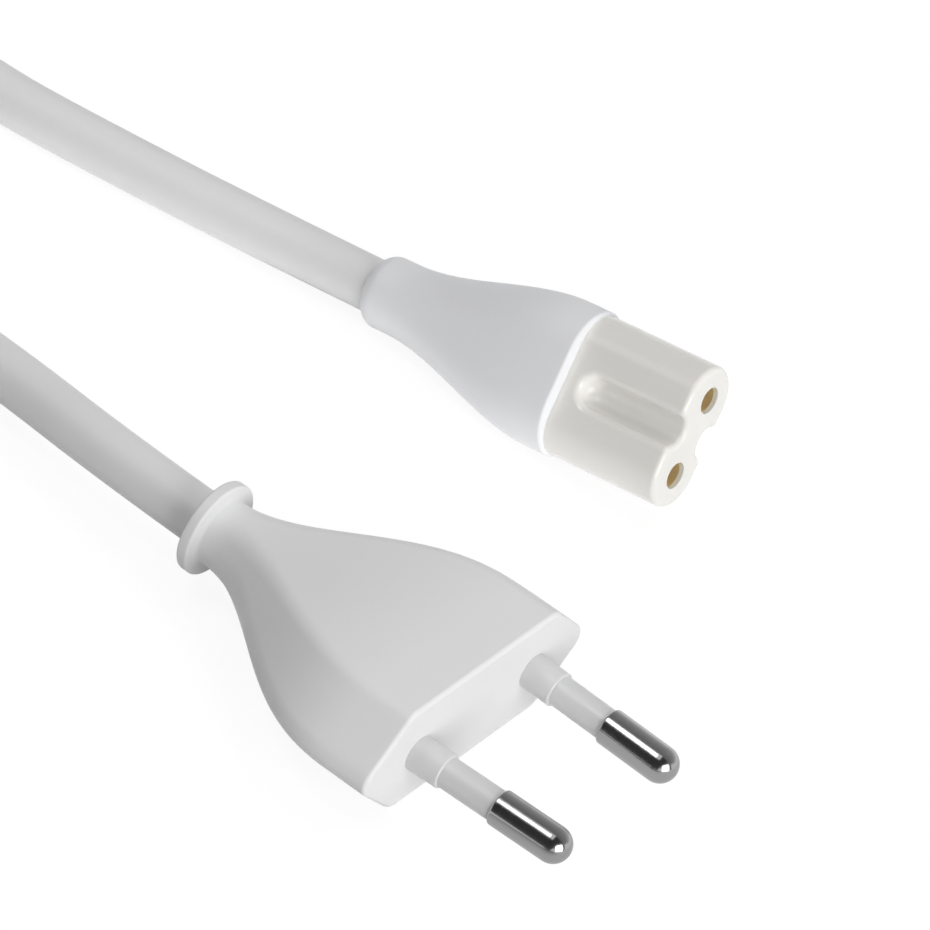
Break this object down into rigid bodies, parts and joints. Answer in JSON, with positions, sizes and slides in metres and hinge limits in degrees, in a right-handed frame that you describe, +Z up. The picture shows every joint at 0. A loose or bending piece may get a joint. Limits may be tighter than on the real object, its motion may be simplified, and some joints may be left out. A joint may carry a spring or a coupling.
{
  "type": "europlug power lead",
  "caption": "Flat moulded mains plug with sleeved round pins on a white cord that ends in a figure-eight appliance connector; the spare cord is folded into a tied hank.",
  "frame": {"origin": "on the surface under the middle of the plug, with its pins, as it lies flat", "axes": "+X out of the face along the pins, +Z up, square to the plug's wide faces"},
  "size_m": [0.259, 0.0712, 0.018],
  "materials": {
    "white_pvc": "satin moulded white PVC",
    "sleeve_plastic": "smooth white, slightly translucent",
    "bridge_plastic": "moulded off-white, hidden in the plug",
    "nickel": "bright nickel plating",
    "contact_brass": "plain brass",
    "copper": "bare copper strands",
    "brown_pvc": "brown core insulation",
    "blue_pvc": "light blue core insulation",
    "boot_pvc": "matt moulded white PVC",
    "ivory_plastic": "glossy ivory",
    "tie_plastic": "black strap"
  },
  "bodies": {
    "root": {"plug_body": "white_pvc", "pin_bridge": "bridge_plastic", "pin_live": "nickel", "pin_neutral": "nickel", "sleeve_live": "sleeve_plastic", "sleeve_neutral": "sleeve_plastic", "plug_conductor_brown": "copper", "plug_conductor_blue": "copper", "plug_core_brown": "brown_pvc", "plug_core_blue": "blue_pvc", "cord_plug_side": "white_pvc", "cord_hank": "white_pvc", "cord_connector_side": "white_pvc", "hank_tie": "tie_plastic", "connector_boot": "boot_pvc", "connector_insert": "ivory_plastic", "contact_live": "contact_brass", "contact_neutral": "contact_brass", "connector_conductor_brown": "copper", "connector_conductor_blue": "copper", "connector_core_brown": "brown_pvc", "connector_core_blue": "blue_pvc"}
  },
  "joints": []
}
